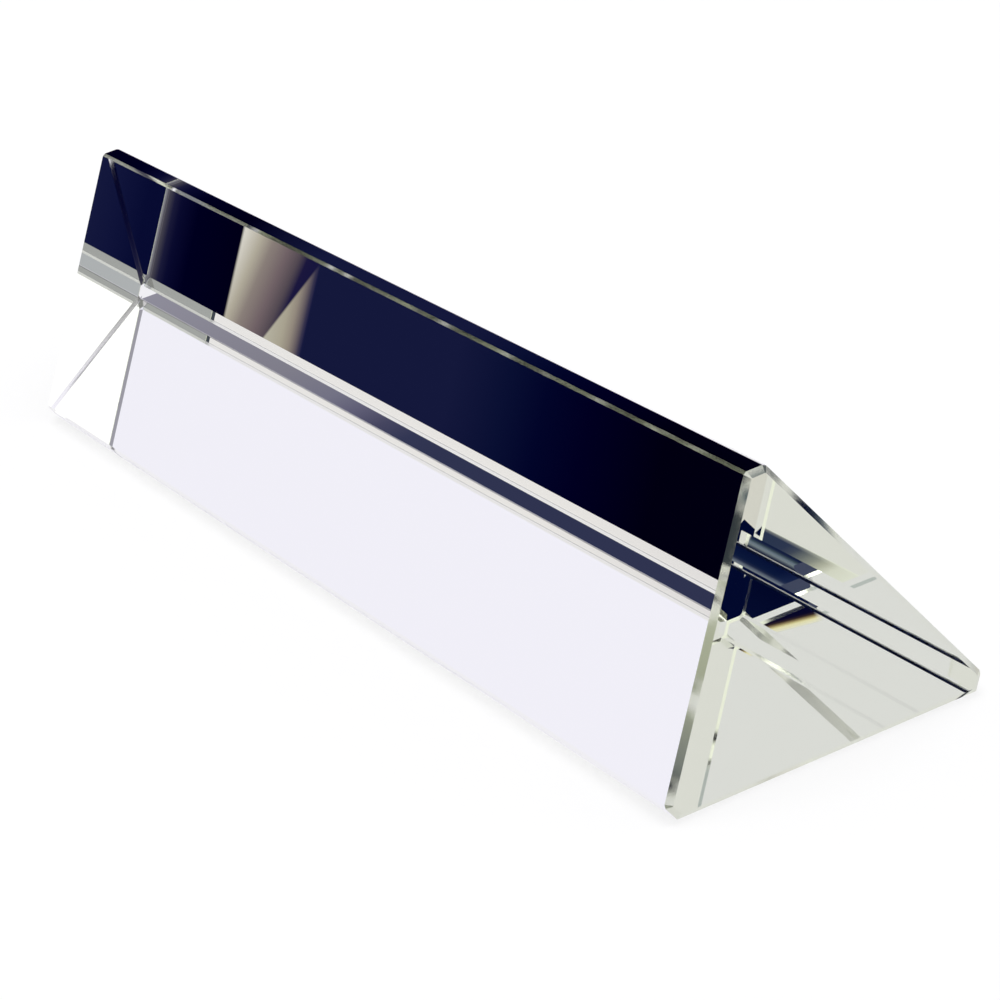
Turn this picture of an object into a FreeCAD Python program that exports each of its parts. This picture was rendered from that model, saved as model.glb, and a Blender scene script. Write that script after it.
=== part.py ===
# Equilateral prism: one bar of optical glass with a three-sided section, ground and polished.
#
# All sizes are in millimetres. X runs along the bar, Y from the front face to the back face and
# Z upwards. The origin is the centre of the bottom face, so the prism rests on Z = 0.
import FreeCAD, Part
import math
import os

import Sketcher

# The driving dimensions, each with its value and what it measures.
SIZES = (
    ("face_width", 30.0, "side of the triangle, between its sharp corners"),
    ("prism_length", 150.0, "one end face to the other"),
    ("edge_flat", 1.4, "flat left along each long edge once its arrises are bevelled"),
    ("arris_bevel", 0.2, "leg of the fine bevel where an edge flat meets the front or back face"),
    ("end_bevel", 0.5, "leg of the bevel round each end face"),
)

# Each corner of the triangle, in degrees.
CORNER = 60.0
MM3_IN_CM3 = 1000


def make_sheet(doc):
    """A spreadsheet with one row for each size: its name, its value and what it measures."""
    sheet = doc.addObject("Spreadsheet::Sheet", "Sizes")
    for row, (name, value, meaning) in enumerate(SIZES, start=1):
        sheet.set(f"A{row}", name)
        sheet.set(f"B{row}", str(value))
        sheet.set(f"C{row}", meaning)
        sheet.setAlias(f"B{row}", name)
    doc.recompute()
    return sheet


def origin_plane(body, role):
    """The plane of the body's own origin that has this role, such as YZ_Plane."""
    return next(item for item in body.Origin.OriginFeatures if item.Role == role)


def draw_triangle(body, sheet):
    """The sharp section, an equilateral triangle that stands on the Y axis, apex up."""
    sketch = body.newObject("Sketcher::SketchObject", "TriangleSection")
    sketch.AttachmentSupport = [(origin_plane(body, "YZ_Plane"), "")]
    sketch.MapMode = "FlatFace"

    side = float(sheet.face_width)
    front = FreeCAD.Vector(-side / 2, 0, 0)
    back = FreeCAD.Vector(side / 2, 0, 0)
    apex = FreeCAD.Vector(0, side * math.sin(math.radians(CORNER)), 0)
    bottom_line = sketch.addGeometry(Part.LineSegment(front, back), False)
    back_line = sketch.addGeometry(Part.LineSegment(back, apex), False)
    front_line = sketch.addGeometry(Part.LineSegment(apex, front), False)

    # The sketch numbers a line's ends, its own level axis and its origin point like this.
    start, end = 1, 2
    level_axis = -1
    middle = (-1, 1)
    sketch.addConstraint([
        Sketcher.Constraint("Coincident", bottom_line, end, back_line, start),
        Sketcher.Constraint("Coincident", back_line, end, front_line, start),
        Sketcher.Constraint("Coincident", front_line, end, bottom_line, start),
        Sketcher.Constraint("Equal", bottom_line, back_line),
        Sketcher.Constraint("Equal", bottom_line, front_line),
        Sketcher.Constraint("Parallel", bottom_line, level_axis),
        Sketcher.Constraint("Symmetric", bottom_line, start, bottom_line, end, *middle),
    ])
    width = sketch.addConstraint(
        Sketcher.Constraint("Distance", bottom_line, start, bottom_line, end, side)
    )
    sketch.renameConstraint(width, "face_width")
    sketch.setExpression("Constraints.face_width", "Sizes.face_width")
    return sketch


def extrude_bar(body, sketch):
    """The bar with sharp edges, half its length to either side of the section."""
    bar = body.newObject("PartDesign::Pad", "SharpBar")
    bar.Profile = sketch
    bar.SideType = "Symmetric"
    bar.setExpression("Length", "Sizes.prism_length")
    return bar


def edge_names(feature, wanted):
    """The names of the feature's edges that the test picks out."""
    edges = enumerate(feature.Shape.Edges, start=1)
    return [f"Edge{number}" for number, edge in edges if wanted(edge)]


def runs_along_bar(edge):
    """True for an edge that runs along the bar."""
    heading = edge.tangentAt(edge.FirstParameter)
    return abs(heading.x) > abs(heading.y) + abs(heading.z)


def runs_round_end(edge):
    """True for an edge in the outline of an end face."""
    return not runs_along_bar(edge)


def runs_above(height):
    """A test that is true for an edge that runs along the bar, higher than this."""
    return lambda edge: runs_along_bar(edge) and edge.CenterOfMass.z > height


def runs_below(height):
    """A test that is true for an edge that runs along the bar, lower than this."""
    return lambda edge: runs_along_bar(edge) and edge.CenterOfMass.z < height


def bevel(body, base, name, wanted, leg):
    """Takes an even bevel off the wanted edges; leg is its width along each face it meets."""
    feature = body.newObject("PartDesign::Chamfer", name)
    feature.Base = (base, edge_names(base, wanted))
    feature.ChamferType = "Equal distance"
    feature.setExpression("Size", leg)
    return feature


def make_prism(doc, sheet):
    """The prism in the order a glass shop works: faces, edge flats, arrises, then the ends."""
    body = doc.addObject("PartDesign::Body", "GlassPrism")
    body.Label = "glass_prism"
    bar = extrude_bar(body, draw_triangle(body, sheet))
    doc.recompute()

    # At a corner of 60 degrees the flat is as wide as the leg that the cut takes off each face.
    # The two upper faces have fine bevels along their edges and the bottom face has none, so the
    # top flat loses two of them and each lower flat loses one.
    middle = float(sheet.face_width) / 2
    top = bevel(body, bar, "TopFlat", runs_above(middle), "Sizes.edge_flat + 2 * Sizes.arris_bevel")
    doc.recompute()

    flats = bevel(body, top, "LowerFlats", runs_below(middle), "Sizes.edge_flat + Sizes.arris_bevel")
    doc.recompute()

    off_the_bottom = runs_above(float(sheet.edge_flat) / 2)
    arrises = bevel(body, flats, "ArrisBevels", off_the_bottom, "Sizes.arris_bevel")
    doc.recompute()

    bevel(body, arrises, "EndBevels", runs_round_end, "Sizes.end_bevel")
    doc.recompute()

    body.Placement = FreeCAD.Placement()
    return body


def check_document(doc, bodies):
    """Stops if any feature failed or any body has no sound solid."""
    for item in doc.Objects:
        if "Invalid" in item.State or "Error" in item.State:
            raise RuntimeError(f"{item.Name} failed: {item.State}")
    for body in bodies:
        shape = body.Shape
        if shape.isNull() or not shape.isValid():
            raise RuntimeError(f"{body.Label} has no valid shape")


def main():
    os.makedirs("parts", exist_ok=True)
    doc = FreeCAD.newDocument("EquilateralPrism")
    sheet = make_sheet(doc)
    bodies = [make_prism(doc, sheet)]
    doc.recompute()
    check_document(doc, bodies)
    for body in bodies:
        body.Shape.exportStep(f"parts/{body.Label}.step")
        box = body.Shape.BoundBox
        print(f"{body.Label}: {box.XLength:.2f} x {box.YLength:.2f} x {box.ZLength:.2f} mm,"
              f" {body.Shape.Volume / MM3_IN_CM3:.2f} cm3, {len(body.Shape.Faces)} faces")


main()
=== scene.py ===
# %% [markdown]
# # An equilateral prism of optical glass
#
# The real object is one bar of clear crown glass, 150 mm long, with three polished faces 30 mm wide.
# A glass shop saws it from a block, grinds the faces flat, takes a narrow flat off each long edge and
# fine bevels off the sharp arrises so that they don't chip, and polishes it until it is as clear as
# water. It has no colour of its own. All that the eye sees is its surroundings, bent and mirrored by
# the glass, so this lesson is mostly about what stands round a clear object, and how light leaves it.
#
# The shape comes ready from the CAD model. The bar lies along X with its near end at +X, its front
# face looks towards -Y, and it rests on Z = 0.

# %% Load the frame
import math

import bpy
import numpy as np
from mathutils import Matrix, Vector


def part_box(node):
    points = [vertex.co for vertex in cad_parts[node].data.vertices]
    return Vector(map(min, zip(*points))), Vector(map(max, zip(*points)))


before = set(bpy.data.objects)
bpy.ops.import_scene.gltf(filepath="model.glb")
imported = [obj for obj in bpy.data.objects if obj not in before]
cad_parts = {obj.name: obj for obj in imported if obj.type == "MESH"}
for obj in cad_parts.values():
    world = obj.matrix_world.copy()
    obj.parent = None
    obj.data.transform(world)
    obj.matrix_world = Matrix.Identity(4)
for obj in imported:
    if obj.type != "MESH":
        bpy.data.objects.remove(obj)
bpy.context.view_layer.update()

MM = 0.001
scene = bpy.context.scene
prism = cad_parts["glass_prism"]
low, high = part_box("glass_prism")
length, width, height = high - low
print(f"prism: {length / MM:.1f} x {width / MM:.1f} x {height / MM:.1f} mm")

# %% [markdown]
# ## The camera
#
# A photographer of small glass stands back and uses a long lens, which keeps the far end from
# shrinking. The camera here looks from beside the near end, a little down, and is rolled so that the
# bar runs down across the picture. One could type in a position and three angles of rotation, but
# they say little to a reader. Here the camera is placed as one would place it on a tripod: the point
# it looks at, how far off it is, how far round, how high up, and how it is rolled.

# %% The camera
AIM = Vector((3.260, 3.837, 2.821)) * MM
DISTANCE = 463.27 * MM
AZIMUTH = math.radians(71.259)
ELEVATION = math.radians(19.700)
ROLL = math.radians(15.482)
LENS_MM = 185.556
SENSOR_MM = 36.0

outward = Vector((
    math.cos(ELEVATION) * math.sin(AZIMUTH),
    -math.cos(ELEVATION) * math.cos(AZIMUTH),
    math.sin(ELEVATION),
))
upright = (-outward).to_track_quat("-Z", "Y").to_matrix().to_4x4()
rolled = upright @ Matrix.Rotation(-ROLL, 4, "Z")

lens = bpy.data.cameras.new("studio_camera")
lens.lens = LENS_MM
lens.sensor_width = SENSOR_MM
camera = bpy.data.objects.new("studio_camera", lens)
camera.matrix_world = Matrix.Translation(AIM + outward * DISTANCE) @ rolled
scene.collection.objects.link(camera)
scene.camera = camera
print("camera at", [round(v / MM, 1) for v in camera.matrix_world.translation], "mm")

# %% [markdown]
# ## Colours and nodes
#
# Colours are written as sRGB hex values, which is how one reads them off a screen, but a renderer
# adds light in linear units, so one function converts them. A second small function adds a node,
# sets its values and joins its inputs, which keeps each material short enough to read at a glance.

# %% Colour and node helpers
def linear(code):
    """An sRGB hex colour as linear red, green, blue and alpha."""
    parts = np.array([int(code[i:i + 2], 16) for i in (0, 2, 4)]) / 255
    light = np.where(parts <= 0.04045, parts / 12.92, ((parts + 0.055) / 1.055) ** 2.4)
    return (*light.tolist(), 1.0)


def add(tree, kind, values=None, links=None, **settings):
    """Adds a node to the tree. values sets its inputs. links joins other nodes to them: an output,
    or a whole node, which stands for the first of its outputs that is in use."""
    node = tree.nodes.new(kind)
    for name, setting in settings.items():
        setattr(node, name, setting)
    for key, value in (values or {}).items():
        node.inputs[key].default_value = value
    for key, source in (links or {}).items():
        if isinstance(source, bpy.types.Node):
            source = next(output for output in source.outputs if output.enabled)
        tree.links.new(source, node.inputs[key])
    return node


def new_material(name):
    """A new material that has no nodes yet, and its tree."""
    material = bpy.data.materials.new(name)
    material.use_nodes = True
    material.node_tree.nodes.clear()
    return material, material.node_tree


print("middle grey is", [round(part, 3) for part in linear("808080")[:3]])

# %% [markdown]
# ## The glass: finding the ground bevels
#
# The faces are polished and the bevels are only ground. One cannot give the bevels a material of
# their own, because the mesh stays as it is, so a mask finds them by the way they face: each polished
# face looks along one of four directions, and whatever looks elsewhere is a bevel.

# %% A mask for the ground bevels
FACE_SLOPE = math.sqrt(3) / 2
FACE_DIRECTIONS = (
    (1, 0, 0),
    (0, 0, 1),
    (0, FACE_SLOPE, 0.5),
    (0, -FACE_SLOPE, 0.5),
)
NEARLY_ALONG = 0.99


def size_along(tree, normal, direction):
    """The size of the dot product of the normal with a direction. Its sign is of no use, because
    light that meets a face from inside the glass finds the normal turned round."""
    dot = add(tree, "ShaderNodeVectorMath", {1: direction}, {0: normal}, operation="DOT_PRODUCT")
    return add(tree, "ShaderNodeMath", links={0: dot}, operation="ABSOLUTE")


def facing_elsewhere(tree, normal):
    """1 where the normal lies along none of the face directions, 0 on the polished faces."""
    largest = size_along(tree, normal, FACE_DIRECTIONS[0])
    for direction in FACE_DIRECTIONS[1:]:
        size = size_along(tree, normal, direction)
        largest = add(tree, "ShaderNodeMath", links={0: largest, 1: size}, operation="MAXIMUM")
    return add(tree, "ShaderNodeMath", {1: NEARLY_ALONG}, {0: largest}, operation="LESS_THAN")


glass, tree = new_material("polished_crown_glass")
coordinates = add(tree, "ShaderNodeTexCoord").outputs
bevels = facing_elsewhere(tree, coordinates["Normal"])
print(len(FACE_DIRECTIONS), "directions of polished faces")

# %% [markdown]
# ## The glass: grit on the bevels
#
# Grinding leaves pits of about 0.03 mm, which make a bevel's gloss a little uneven. They are too fine
# to show here, so the grit pattern is drawn at 0.3 mm. The bevels are nearly polished, so their
# roughness is small, and it is 0 on the faces.

# %% Grit on the bevels
GRIT_MM = 0.3
GRIT_DETAIL = 3.0
BEVEL_ROUGHNESS = 0.1
UNEVENNESS = 0.3

grit = add(
    tree, "ShaderNodeTexNoise", {"Scale": 1 / (GRIT_MM * MM), "Detail": GRIT_DETAIL},
    {"Vector": coordinates["Object"]},
)
uneven = add(
    tree, "ShaderNodeMapRange",
    {"To Min": (1 - UNEVENNESS) * BEVEL_ROUGHNESS, "To Max": (1 + UNEVENNESS) * BEVEL_ROUGHNESS},
    {"Value": grit},
)
rough = add(tree, "ShaderNodeMath", links={0: bevels, 1: uneven}, operation="MULTIPLY")
print("bevel roughness", BEVEL_ROUGHNESS, "give or take", round(UNEVENNESS * BEVEL_ROUGHNESS, 3))

# %% [markdown]
# ## The glass: painted shade on the lower rear bevel
#
# The fine bevel at the lower rear edge carries painted shade in its mirror colour. At a shallow slant it
# mirrors a dark slate, and from the near end it shows as two dark lines. At the very shallowest slant
# the painted slate is half as strong. The bevel is found by its facing, level, and by its place in the
# rear half of the bar.

# %% Painted shade on the lower rear bevel
REARWARDS = (0, 1, 0)
# The slate below is painted shade, mirrored by the lower rear bevel at a shallow slant.
PAINTED_SLATE_SHADE = "101838"
SKIMMING = {"From Min": 0.6, "From Max": 0.76}
SHALLOWEST = {"From Min": 0.84, "From Max": 0.89, "To Min": 1.0, "To Max": 0.5}

level = add(
    tree, "ShaderNodeMath", {1: NEARLY_ALONG}, {0: size_along(tree, coordinates["Normal"], REARWARDS)},
    operation="GREATER_THAN",
)
place = add(tree, "ShaderNodeSeparateXYZ", links={0: coordinates["Object"]}).outputs
rear = add(tree, "ShaderNodeMath", {1: 0.0}, {0: place["Y"]}, operation="GREATER_THAN")
lower_rear = add(tree, "ShaderNodeMath", links={0: level, 1: rear}, operation="MULTIPLY")
slant = add(tree, "ShaderNodeLayerWeight", {"Blend": 0.5}).outputs["Facing"]
skimming = add(tree, "ShaderNodeMapRange", SKIMMING, {"Value": slant})
shallowest = add(tree, "ShaderNodeMapRange", SHALLOWEST, {"Value": slant})
shallow = add(tree, "ShaderNodeMath", links={0: skimming, 1: shallowest}, operation="MULTIPLY")
painted_shade_share = add(tree, "ShaderNodeMath", links={0: lower_rear, 1: shallow}, operation="MULTIPLY")
# The mirror colour turns from white to the painted slate shade where the lower rear bevel is seen at a
# shallow slant.
mirror_tint_with_painted_shade = add(
    tree, "ShaderNodeMix", {6: linear("ffffff"), 7: linear(PAINTED_SLATE_SHADE)}, {"Factor": painted_shade_share},
    data_type="RGBA",
)
print("share of light that the pits mirror:", [round(part, 3) for part in linear(PAINTED_SLATE_SHADE)[:3]])

# %% [markdown]
# ## The glass: bending and mirroring
#
# Polished crown glass bends light by its refractive index, 1.517, and mirrors all of it inside
# wherever it arrives too much aslant to leave. That total mirroring draws nearly everything that one
# sees in a prism. A ready Glass BSDF could do it, but it also adds the faint mirroring, 4 percent, of
# a bare surface, and good optical glass has a coating against that. So the material mixes a
# Refraction and a Glossy BSDF by the mirrored share, with its weak end taken away. A faint tint in
# the depth of the glass takes a little off light that travels the whole bar.

# %% Bending and mirroring
CROWN_IOR = 1.5168
WEAK_MIRRORING = 0.3
DEPTH_TINT = "f7f8f3"
DEPTH_DENSITY = 26.0

bent = add(tree, "ShaderNodeBsdfRefraction", {"IOR": CROWN_IOR}, {"Roughness": rough})
mirrored = add(tree, "ShaderNodeBsdfAnisotropic", links={"Color": mirror_tint_with_painted_shade, "Roughness": rough})
share = add(tree, "ShaderNodeFresnel", {"IOR": CROWN_IOR})
coated = add(tree, "ShaderNodeMapRange", {"From Min": WEAK_MIRRORING, "From Max": 1.0}, {"Value": share})
surface = add(tree, "ShaderNodeMixShader", links={0: coated, 1: bent, 2: mirrored})
depth = add(tree, "ShaderNodeVolumeAbsorption", {"Color": linear(DEPTH_TINT), "Density": DEPTH_DENSITY})
add(tree, "ShaderNodeOutputMaterial", links={"Surface": surface, "Volume": depth})

prism.data.materials.clear()
prism.data.materials.append(glass)
through = [math.exp(-DEPTH_DENSITY * (1 - part) * length) for part in linear(DEPTH_TINT)[:3]]
print("light left after the whole length:", [round(part, 2) for part in through])

# %% [markdown]
# ## The floor
#
# The object stands on a plain pale floor that runs out to the horizon. A floor that is only painted
# white never comes out quite white, so it glows a little for the camera and takes the rest of its
# light from the studio, which leaves a soft shadow under the bar. Rays that have been through the
# glass see a plain white floor. Light Path tells the two kinds of ray apart.

# %% Flat stage pieces
def flat_piece(name, corners, material):
    """A flat four-sided stage piece from its corners in millimetres."""
    mesh = bpy.data.meshes.new(name)
    mesh.from_pydata((np.array(corners, dtype=float) * MM).tolist(), [], [(0, 1, 2, 3)])
    mesh.materials.append(material)
    piece = bpy.data.objects.new(name, mesh)
    scene.collection.objects.link(piece)
    return piece


def lying(x0, x1, y0, y1, z):
    """The corners of a rectangle that lies level, at this height."""
    return [(x0, y0, z), (x1, y0, z), (x1, y1, z), (x0, y1, z)]


# %% The floor
FLOOR_REACH = 3000
FLOOR_LEVEL = -0.3
FLOOR_GLOW = 0.8
FLOOR_IN_GLASS = "f6f4fc"

material, tree = new_material("matt_white_board")
painted = add(tree, "ShaderNodeBsdfDiffuse", {"Color": linear("fbfbfb"), "Roughness": 1.0})
seen_directly = add(tree, "ShaderNodeLightPath").outputs["Is Camera Ray"]
tone = add(
    tree, "ShaderNodeMix", {6: linear(FLOOR_IN_GLASS), 7: linear("ffffff")}, {"Factor": seen_directly},
    data_type="RGBA",
)
glowing = add(tree, "ShaderNodeEmission", {"Strength": 1.0}, {"Color": tone})
glow = add(tree, "ShaderNodeMapRange", {"To Min": 1.0, "To Max": FLOOR_GLOW}, {"Value": seen_directly})
board = add(tree, "ShaderNodeMixShader", links={0: glow, 1: painted, 2: glowing})
add(tree, "ShaderNodeOutputMaterial", links={"Surface": board})
flat_piece("floor", lying(-FLOOR_REACH, FLOOR_REACH, -FLOOR_REACH, FLOOR_REACH, FLOOR_LEVEL), material)
print("floor", 2 * FLOOR_REACH / 1000, "m wide")

# %% [markdown]
# ## Cards that only the glass shows
#
# Clear glass on white would be nearly invisible. Photographers slide dark cards under and behind it:
# the polished faces then pick up deep, clean tones that draw the shape. The cards here are left out
# of what the camera sees directly and cast no shade on the floor.
#
# One could model each card's folds, but only their tones are ever seen, bent through the glass. So
# they are flat pieces with colour ramps on them, whose stops are given in millimetres. A mask is a
# ramp too, from black to white.
#
# Several views of one spot overlap, and they differ in how often the glass has mirrored them. A
# studio would tell them apart with a dozen tiny flags. Light Path's Ray Depth does it more simply: it
# counts the meetings with the glass, so a card can be there for some of the views and not for others.

# %% Ramps in millimetres
def object_axes(tree):
    """The X, Y and Z of the place on the piece, as outputs."""
    place = add(tree, "ShaderNodeTexCoord").outputs["Object"]
    return add(tree, "ShaderNodeSeparateXYZ", links={0: place}).outputs


def ramp(tree, value, stops, unit=MM):
    """A colour ramp over a value, from (place, hex colour) pairs in rising order."""
    start, end = stops[0][0], stops[-1][0]
    span = {"From Min": start * unit, "From Max": end * unit}
    share = add(tree, "ShaderNodeMapRange", span, {"Value": value})
    node = add(tree, "ShaderNodeValToRGB", links={"Fac": share})
    points = node.color_ramp.elements
    points[0].color = linear(stops[0][1])
    points[1].color = linear(stops[-1][1])
    for place, code in stops[1:-1]:
        points.new((place - start) / (end - start)).color = linear(code)
    return node


# %% Cards, and the views that they are there for
WAY_IN_AND_OUT = 2


def mirrorings(tree, least, most):
    """1 for light that the glass has mirrored at least and at most this often on its way here. The
    ray's depth counts those meetings and two more, where the light went in and where it came out."""
    depth = add(tree, "ShaderNodeLightPath").outputs["Ray Depth"]
    over = {1: least + WAY_IN_AND_OUT - 0.5}
    under = {1: most + WAY_IN_AND_OUT + 0.5}
    enough = add(tree, "ShaderNodeMath", over, {0: depth}, operation="GREATER_THAN")
    few = add(tree, "ShaderNodeMath", under, {0: depth}, operation="LESS_THAN")
    return add(tree, "ShaderNodeMath", links={0: enough, 1: few}, operation="MULTIPLY")


def lay_card(name, corners, material, tree, shine, shown=None):
    """A stage card that gives off its own light, by the Emission node shine. It is there for light
    that comes through the glass alone, and where shown is given, only as far as that is 1."""
    surface = shine
    if shown is not None:
        nothing = add(tree, "ShaderNodeBsdfTransparent")
        surface = add(tree, "ShaderNodeMixShader", links={0: shown, 1: nothing, 2: shine})
    add(tree, "ShaderNodeOutputMaterial", links={"Surface": surface})
    piece = flat_piece(name, corners, material)
    piece.visible_camera = False
    piece.visible_diffuse = False
    piece.visible_shadow = False


print("light mirrored once has ray depth", 1 + WAY_IN_AND_OUT)

# %% [markdown]
# ## The navy card under the bar, painted shade
#
# Looking down through the front face and up again by way of the back face, the eye lands on the rear
# half of the bottom, so this card lies there. Its navy is painted shade, the shade under the bar. Its
# colour runs along the bar, black at both ends and navy in the middle. Seen from the near end, by two
# mirrorings, it is an even navy at the far end.

# %% The navy of the card, painted shade
CARD_START = -76.4
CARD_END = 75

material, tree = new_material("navy_painted_shade_card")
axes = object_axes(tree)
x, y = axes["X"], axes["Y"]
# Painted shade: the black and navy tones below stand for the shade under the bar, seen through the glass.
from_the_front = ramp(tree, x, [
    (CARD_START, "94939c"), (-75.3, "94939c"), (-75, "4e4b56"), (-73, "1c1c3c"), (-71, "0a0b30"),
    (-66, "000020"), (-54, "010019"), (-34, "15193e"), (0, "15193e"), (11, "0a1035"), (19, "02052b"),
    (28, "010022"), (42, "010012"), (CARD_END, "010010"),
])
from_the_end = ramp(tree, x, [
    (CARD_START, "080c34"), (-70, "080c34"), (-62, "10143c"), (-54, "161a40"), (-50, "15193e"),
    (CARD_END, "010010"),
])
navy = add(
    tree, "ShaderNodeMix", links={"Factor": mirrorings(tree, 2, 2), 6: from_the_front, 7: from_the_end},
    data_type="RGBA",
)
print("navy card", CARD_END - CARD_START, "mm long")

# %% [markdown]
# ## The folded patch
#
# A quarter of the way in, a cream patch lies on the card. It is folded along a slant: one half turns
# from cream to brown-grey along a leaning line, the other straight along the bar. Where the card
# sticks out beyond the far end, it is there only for light mirrored at most twice.

# %% The folded patch and the card
GREY_LEAN = 0.45
FOLD_LEAN = 1.03
FAR_END = -75.1
CARD_LEVEL = -0.15

leaning = add(tree, "ShaderNodeMath", {1: GREY_LEAN}, {0: y, 2: x}, operation="MULTIPLY_ADD")
grey_half = ramp(tree, leaning, [
    (-51, "dad6cf"), (-47, "b4ad9f"), (-44, "8d827e"), (-40, "73646a"), (-37, "554b55"),
    (-35, "1c1840"), (-33, "181640"),
])
cream_half = ramp(tree, x, [
    (-43, "bab6a8"), (-39, "aca595"), (-37, "968c82"), (-35.5, "6e6468"), (-34.4, "3a3650"),
    (-33.6, "181b44"),
])
leaning = add(tree, "ShaderNodeMath", {1: FOLD_LEAN}, {0: y, 2: x}, operation="MULTIPLY_ADD")
fold = ramp(tree, leaning, [(-29.6, "000000"), (-29.1, "ffffff")])
patch = add(tree, "ShaderNodeMix", links={"Factor": fold, 6: grey_half, 7: cream_half}, data_type="RGBA")

inside = ramp(tree, x, [(-54, "000000"), (-53.4, "ffffff"), (-34, "ffffff"), (-33.5, "000000")])
inside = add(tree, "ShaderNodeMath", links={0: inside, 1: mirrorings(tree, 1, 1)}, operation="MULTIPLY")
colour = add(tree, "ShaderNodeMix", links={"Factor": inside, 6: navy, 7: patch}, data_type="RGBA")
under_bar = add(tree, "ShaderNodeMath", {1: FAR_END * MM}, {0: x}, operation="GREATER_THAN")
shown = add(tree, "ShaderNodeMath", links={0: under_bar, 1: mirrorings(tree, 0, 2)}, operation="MAXIMUM")
shine = add(tree, "ShaderNodeEmission", links={"Color": colour})
lay_card("navy_painted_shade_card", lying(CARD_START, CARD_END, -2.3, 13.6, CARD_LEVEL), material, tree, shine, shown)
print("navy card under the rear half of the bar")

# %% [markdown]
# ## The violet strip of painted shadow
#
# The lower rear flat of the bar, only 1.4 mm wide, looks down on a narrow strip along the card's
# edge. The strip is painted shadow, the bar's shadow on the floor beside its lower rear edge, and the
# front face magnifies it into the violet band between the navy and the white. The painted shadow is
# lighter towards the far end. For light mirrored once it is a plain pale grey, which shows as a grey
# block at the far end.

# %% The violet strip of painted shadow
STRIP_START = -75
STRIP_LEVEL = -0.1
MIRRORED_ONCE = "b1b4b8"

material, tree = new_material("violet_painted_shadow_strip")
# Painted shadow: the violet tones stand for the bar's shadow on the floor beside its lower rear edge.
violet = ramp(tree, object_axes(tree)["X"], [
    (STRIP_START, "9290a0"), (-37, "82808f"), (-25, "757489"), (-19, "62607a"), (-13, "484864"),
    (-7, "343857"), (0, "313553"),
])
colour = add(
    tree, "ShaderNodeMix", {7: linear(MIRRORED_ONCE)}, {"Factor": mirrorings(tree, 1, 1), 6: violet},
    data_type="RGBA",
)
shine = add(tree, "ShaderNodeEmission", links={"Color": colour})
lay_card("violet_painted_shadow_strip", lying(STRIP_START, 68, 13.6, 15.4, STRIP_LEVEL), material, tree, shine)
print("violet strip beside the navy card")

# %% [markdown]
# ## The navy fold beyond the far end
#
# Looking in at the near end, the eye travels the whole bar and comes out at the far one, where it
# meets the card's end a few millimetres on. It lies folded there, in tones that change over a few
# millimetres, and it draws the dark wedge with two light lines in the near end face. The card has one
# set of tones for light mirrored twice, and another for light mirrored four times.

# %% The fold's tones after four mirrorings
FOLD_START = -98

material, tree = new_material("navy_fold")
axes = object_axes(tree)
x, y = axes["X"], axes["Y"]
light_line = ramp(tree, y, [
    (-12.8, "060f3a"), (-7.0, "020830"), (-6.75, "404862"), (-6.45, "818c9c"), (-6.2, "75829b"),
    (-5.95, "49596b"), (-5.7, "252f52"), (-5.4, "0c1c48"), (-3.3, "060f40"),
])
paling = ramp(tree, x, [
    (FOLD_START, "2e3b5c"), (-90, "343e60"), (-88, "485068"), (-86, "757a82"), (-84, "999c9c"),
    (-82, "c7c7c0"), (-80, "ededea"), (-75, "fafafa"),
])
fade = ramp(tree, y, [(-3.2, "000000"), (-1.4, "000000"), (-1.0, "808080"), (-0.8, "ffffff")])
upper_band = add(
    tree, "ShaderNodeMix", {"Factor": 1.0}, {6: paling, 7: fade}, data_type="RGBA", blend_type="SCREEN",
)
in_upper_band = ramp(tree, y, [(-3.2, "000000"), (-3.1, "ffffff")])
after_four = add(
    tree, "ShaderNodeMix", links={"Factor": in_upper_band, 6: light_line, 7: upper_band},
    data_type="RGBA",
)
print("the fold reaches", round(FAR_END - FOLD_START, 1), "mm beyond the far end")

# %% The fold's tones after two mirrorings, and the card
END_LEAN = 0.8

light_line = ramp(tree, y, [
    (-6.4, "30385a"), (-6.1, "6a7088"), (-5.85, "7e869a"), (-5.6, "5c6480"), (-5.35, "242e52"),
    (-5.0, "0f1d48"), (-3.3, "061040"),
])
veil = ramp(tree, x, [(-81, "000000"), (-76, "1c2440")])
after_two = add(
    tree, "ShaderNodeMix", {"Factor": 1.0}, {6: light_line, 7: veil}, data_type="RGBA", blend_type="SCREEN",
)
twice = mirrorings(tree, 2, 2)
colour = add(tree, "ShaderNodeMix", links={"Factor": twice, 6: after_four, 7: after_two}, data_type="RGBA")

leaning = add(tree, "ShaderNodeMath", {1: END_LEAN}, {0: x, 2: y}, operation="MULTIPLY_ADD")
slanted_end = ramp(tree, leaning, [(-76.9, "000000"), (-76.6, "ffffff")])
near_bar = ramp(tree, y, [(-4.3, "000000"), (-4.2, "ffffff")])
within = add(tree, "ShaderNodeMath", links={0: slanted_end, 1: near_bar}, operation="MAXIMUM")
four_times = add(tree, "ShaderNodeMath", links={0: mirrorings(tree, 4, 4), 1: within}, operation="MULTIPLY")
shown = add(tree, "ShaderNodeMath", links={0: twice, 1: four_times}, operation="ADD")
shine = add(tree, "ShaderNodeEmission", links={"Color": colour})
lay_card("navy_fold", lying(FOLD_START, FAR_END, -12.8, -0.8, STRIP_LEVEL), material, tree, shine, shown)
print("the fold is there for light mirrored twice or four times")

# %% [markdown]
# ## Small flags round the far end
#
# A few small flags finish the far end, each with a colour of its own and a number of mirrorings. Five
# navy ones stand where stray light would cut the wedge: on its left, over it, behind the back face,
# beside the bar and above it. Two slate blue ones at the foot of the end face carry on the dark bands
# of the wedge. A brown one behind the far end draws the thin line of its lower bevel, and a slate one
# darkens the top of the near upright bevel.

# %% Flags
NAVY = "030c38"
SLATE_BLUE = "4a5070"


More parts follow.
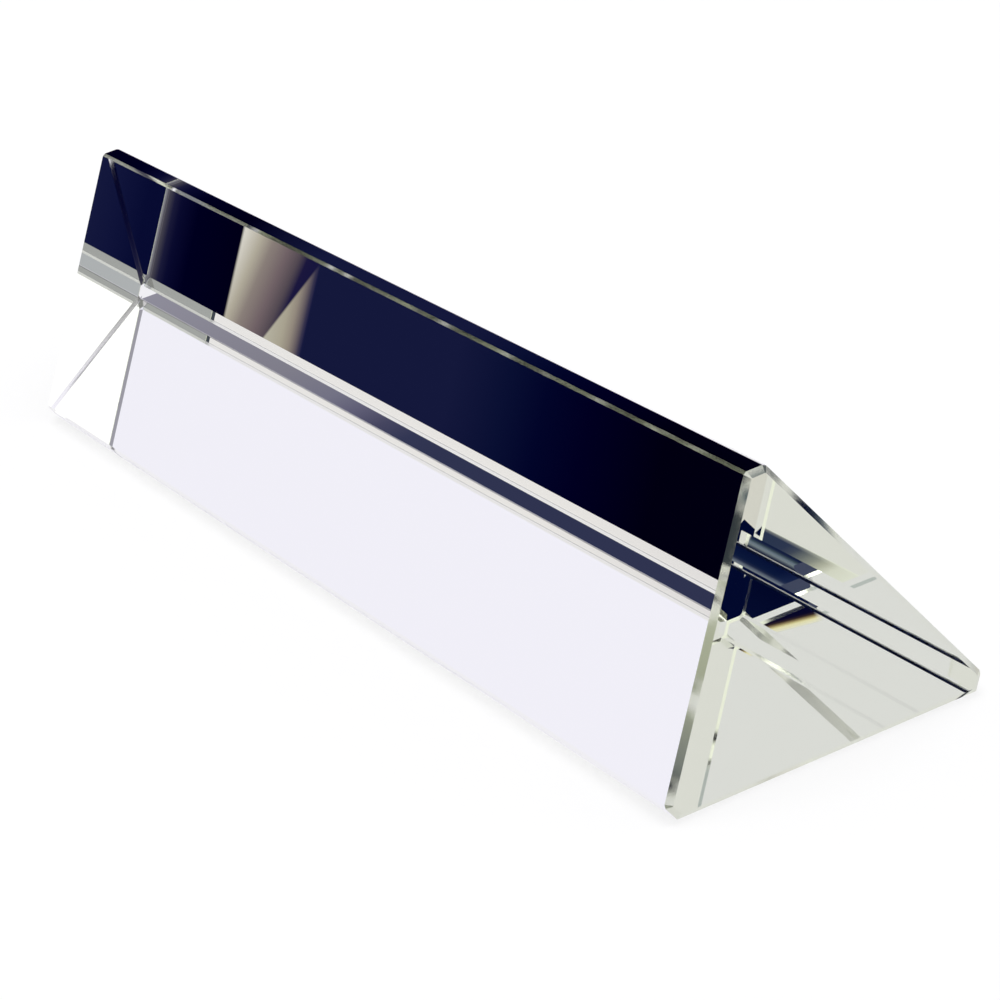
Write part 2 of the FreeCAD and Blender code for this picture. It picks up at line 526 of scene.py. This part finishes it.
def across(x, y0, y1, z0, z1):
    """The corners of a rectangle that stands across the bar, at this place along it."""
    return [(x, y0, z0), (x, y1, z0), (x, y1, z1), (x, y0, z1)]


def beside(y, x0, x1, z0, z1):
    """The corners of a rectangle that stands along the bar, at this place beside it."""
    return [(x0, y, z0), (x1, y, z0), (x1, y, z1), (x0, y, z1)]


# A flag's name, its corners, the least and most mirrorings of the light it is there for, its colour.
FLAGS = (
    ("left_flag", across(-79.5, -30, -12.4, -0.2, 8.8), 3, 3, NAVY),
    ("upper_flag", across(-79, -12.3, -10.2, 7.7, 8.95), 3, 3, NAVY),
    ("rear_flag", beside(12.5, -67, -60, 12.5, 19), 7, 7, NAVY),
    ("side_flag", beside(40, -80, -60, 2.4, 12), 6, 6, NAVY),
    ("top_flag", lying(-68.5, -64.5, 2.5, 7.5, 27), 8, 8, NAVY),
    ("foot_flag", across(-76, -7.2, -3.7, -0.2, 0.75), 2, 2, SLATE_BLUE),
    ("toe_flag", across(-76.1, -7.2, -3.7, -0.2, 0.75), 4, 4, SLATE_BLUE),
    ("line_flag", beside(40, -115, -60, -0.2, 25), 0, 0, "3c3a36"),
    ("slate_flag", lying(-86, -81, 0.8, 4.6, -0.1), 5, 6, "48586a"),
)
for name, corners, least, most, code in FLAGS:
    material, tree = new_material(f"card_of_{name}")
    shine = add(tree, "ShaderNodeEmission", {"Color": linear(code)})
    lay_card(name, corners, material, tree, shine, mirrorings(tree, least, most))
print(len(FLAGS), "flags")

# %% [markdown]
# ## The seam and the painted contact shadow
#
# The seam stands right at the far end face and gives the wedge its lower edge, brown and then yellow: a
# painted colour fringe like the one glass makes where it splits white light along a sharp edge. Its
# tones change with height, less a little for each millimetre across the bar. The painted contact shadow
# lies under the end face, darker towards the back, and shades the near upright bevel.

# %% The seam
SEAM_LEAN = -0.13

material, tree = new_material("split_light_seam")
axes = object_axes(tree)
y, z = axes["Y"], axes["Z"]
leaning = add(tree, "ShaderNodeMath", {1: SEAM_LEAN}, {0: y, 2: z}, operation="MULTIPLY_ADD")
# Painted light: the dark, brown, yellow and white tones are a colour fringe of split light, painted on the
# seam.
painted_light_fringe = ramp(tree, leaning, [
    (0.5, "05083a"), (2.1, "0c0a30"), (2.35, "3c2c30"), (2.55, "a08c6c"), (2.7, "dccfa0"),
    (2.85, "fff6d2"), (3.3, "f6f4f6"),
])
low_down = ramp(tree, leaning, [(3.2, "ffffff"), (3.3, "000000")])
far_left = ramp(tree, y, [(-6.9, "ffffff"), (-6.0, "000000")])
shown = add(tree, "ShaderNodeMath", links={0: low_down, 1: far_left}, operation="MULTIPLY")
shown = add(tree, "ShaderNodeMath", links={0: shown, 1: mirrorings(tree, 5, 5)}, operation="MULTIPLY")
shine = add(tree, "ShaderNodeEmission", links={"Color": painted_light_fringe})
lay_card("split_light_seam", across(FAR_END, -13.4, -6, 0, 2.6), material, tree, shine, shown)
print("seam at", FAR_END, "mm")

# %% The painted contact shadow
CONTACT_SHADOW_LEVEL = -0.05

material, tree = new_material("painted_contact_shadow")
# Painted shadow: the bar's contact shadow on the floor just past the far end, lighter at the front and
# darker towards the back.
shade = ramp(tree, object_axes(tree)["Y"], [
    (-13, "c6c8be"), (-5, "b4b6ac"), (0, "96989a"), (3, "82868c"), (3.6, "1a1838"), (9, "14122e"),
])
shine = add(tree, "ShaderNodeEmission", links={"Color": shade})
contact_shadow_corners = lying(-77.2, -75.05, -13, 9, CONTACT_SHADOW_LEVEL)
lay_card("painted_contact_shadow", contact_shadow_corners, material, tree, shine, mirrorings(tree, 6, 9))
print("sill under the far end face")

# %% [markdown]
# ## The studio
#
# A light tent goes all round clear glass, so that no face reflects a black room. This one is white
# behind the near end and faintly blue behind the far one. It is open towards the front, where the
# photographer stands in the dark, and greyer straight behind the far end, which draws the thin lines
# of the bevels there. It is a world whose colour depends on direction alone. A soft box overhead adds
# the little light that makes the shadow under the bar.

# %% The light tent
TENT_STRENGTH = 1.15

world = bpy.data.worlds.new("light_tent")
world.use_nodes = True
scene.world = world
tree = world.node_tree
tree.nodes.clear()
direction = add(tree, "ShaderNodeTexCoord").outputs["Generated"]
axes = add(tree, "ShaderNodeSeparateXYZ", links={0: direction}).outputs
tint = ramp(tree, axes["X"], [(-0.2, "e8e6f2"), (0.3, "ffffff")], unit=1)
far_side = ramp(tree, axes["Y"], [
    (-0.85, "2c343a"), (-0.7, "5c6268"), (-0.55, "e0dedc"), (-0.45, "fbf9f0"), (-0.2, "fbfbf8"),
    (-0.08, "ffffff"), (0.52, "ffffff"), (0.6, "a8a8ac"), (1.0, "807e7a"),
], unit=1)
near_side = ramp(tree, axes["Y"], [
    (-0.85, "c4c8d4"), (-0.75, "80828a"), (-0.6, "808080"), (-0.4, "a0a2a4"), (-0.33, "9c9c9e"),
    (-0.24, "d0d0d2"), (-0.15, "ffffff"),
], unit=1)
nearness = add(tree, "ShaderNodeMapRange", {"From Min": -0.2, "From Max": 0.2}, {"Value": axes["X"]})
opening = add(
    tree, "ShaderNodeMix", links={"Factor": nearness, 6: far_side, 7: near_side}, data_type="RGBA",
)
tent = add(
    tree, "ShaderNodeMix", {"Factor": 1.0}, {6: tint, 7: opening}, data_type="RGBA",
    blend_type="MULTIPLY",
)
soft = add(tree, "ShaderNodeBackground", {"Strength": TENT_STRENGTH}, {"Color": tent})
white = add(tree, "ShaderNodeBackground", {"Color": linear("ffffff"), "Strength": 1.0})
seen_directly = add(tree, "ShaderNodeLightPath").outputs["Is Camera Ray"]
backdrop = add(tree, "ShaderNodeMixShader", links={0: seen_directly, 1: soft, 2: white})
add(tree, "ShaderNodeOutputWorld", links={"Surface": backdrop})
print("light tent at strength", TENT_STRENGTH)

# %% The soft box
BOX_SIDE = 0.6
BOX_PLACE = (0, 0.1, 0.9)
BOX_WATTS = 3.5

lamp = bpy.data.lights.new("soft_box", "AREA")
lamp.shape = "SQUARE"
lamp.size = BOX_SIDE
lamp.energy = BOX_WATTS
soft_box = bpy.data.objects.new("soft_box", lamp)
soft_box.location = BOX_PLACE
scene.collection.objects.link(soft_box)
print("soft box", BOX_SIDE, "m wide at", BOX_PLACE[2], "m")

# %% [markdown]
# ## How light is added up
#
# Light crosses the bar many times before it leaves, more often than a renderer follows by default,
# and a path that is cut short turns black. So the limits go up. The Standard view shows a colour as it
# is written, with no film curve over it.

# %% Light paths and the view
MOST_BOUNCES = 32

scene.cycles.max_bounces = MOST_BOUNCES
scene.cycles.glossy_bounces = MOST_BOUNCES
scene.cycles.transmission_bounces = MOST_BOUNCES
scene.view_settings.view_transform = "Standard"
print("light is followed over", MOST_BOUNCES, "bounces")
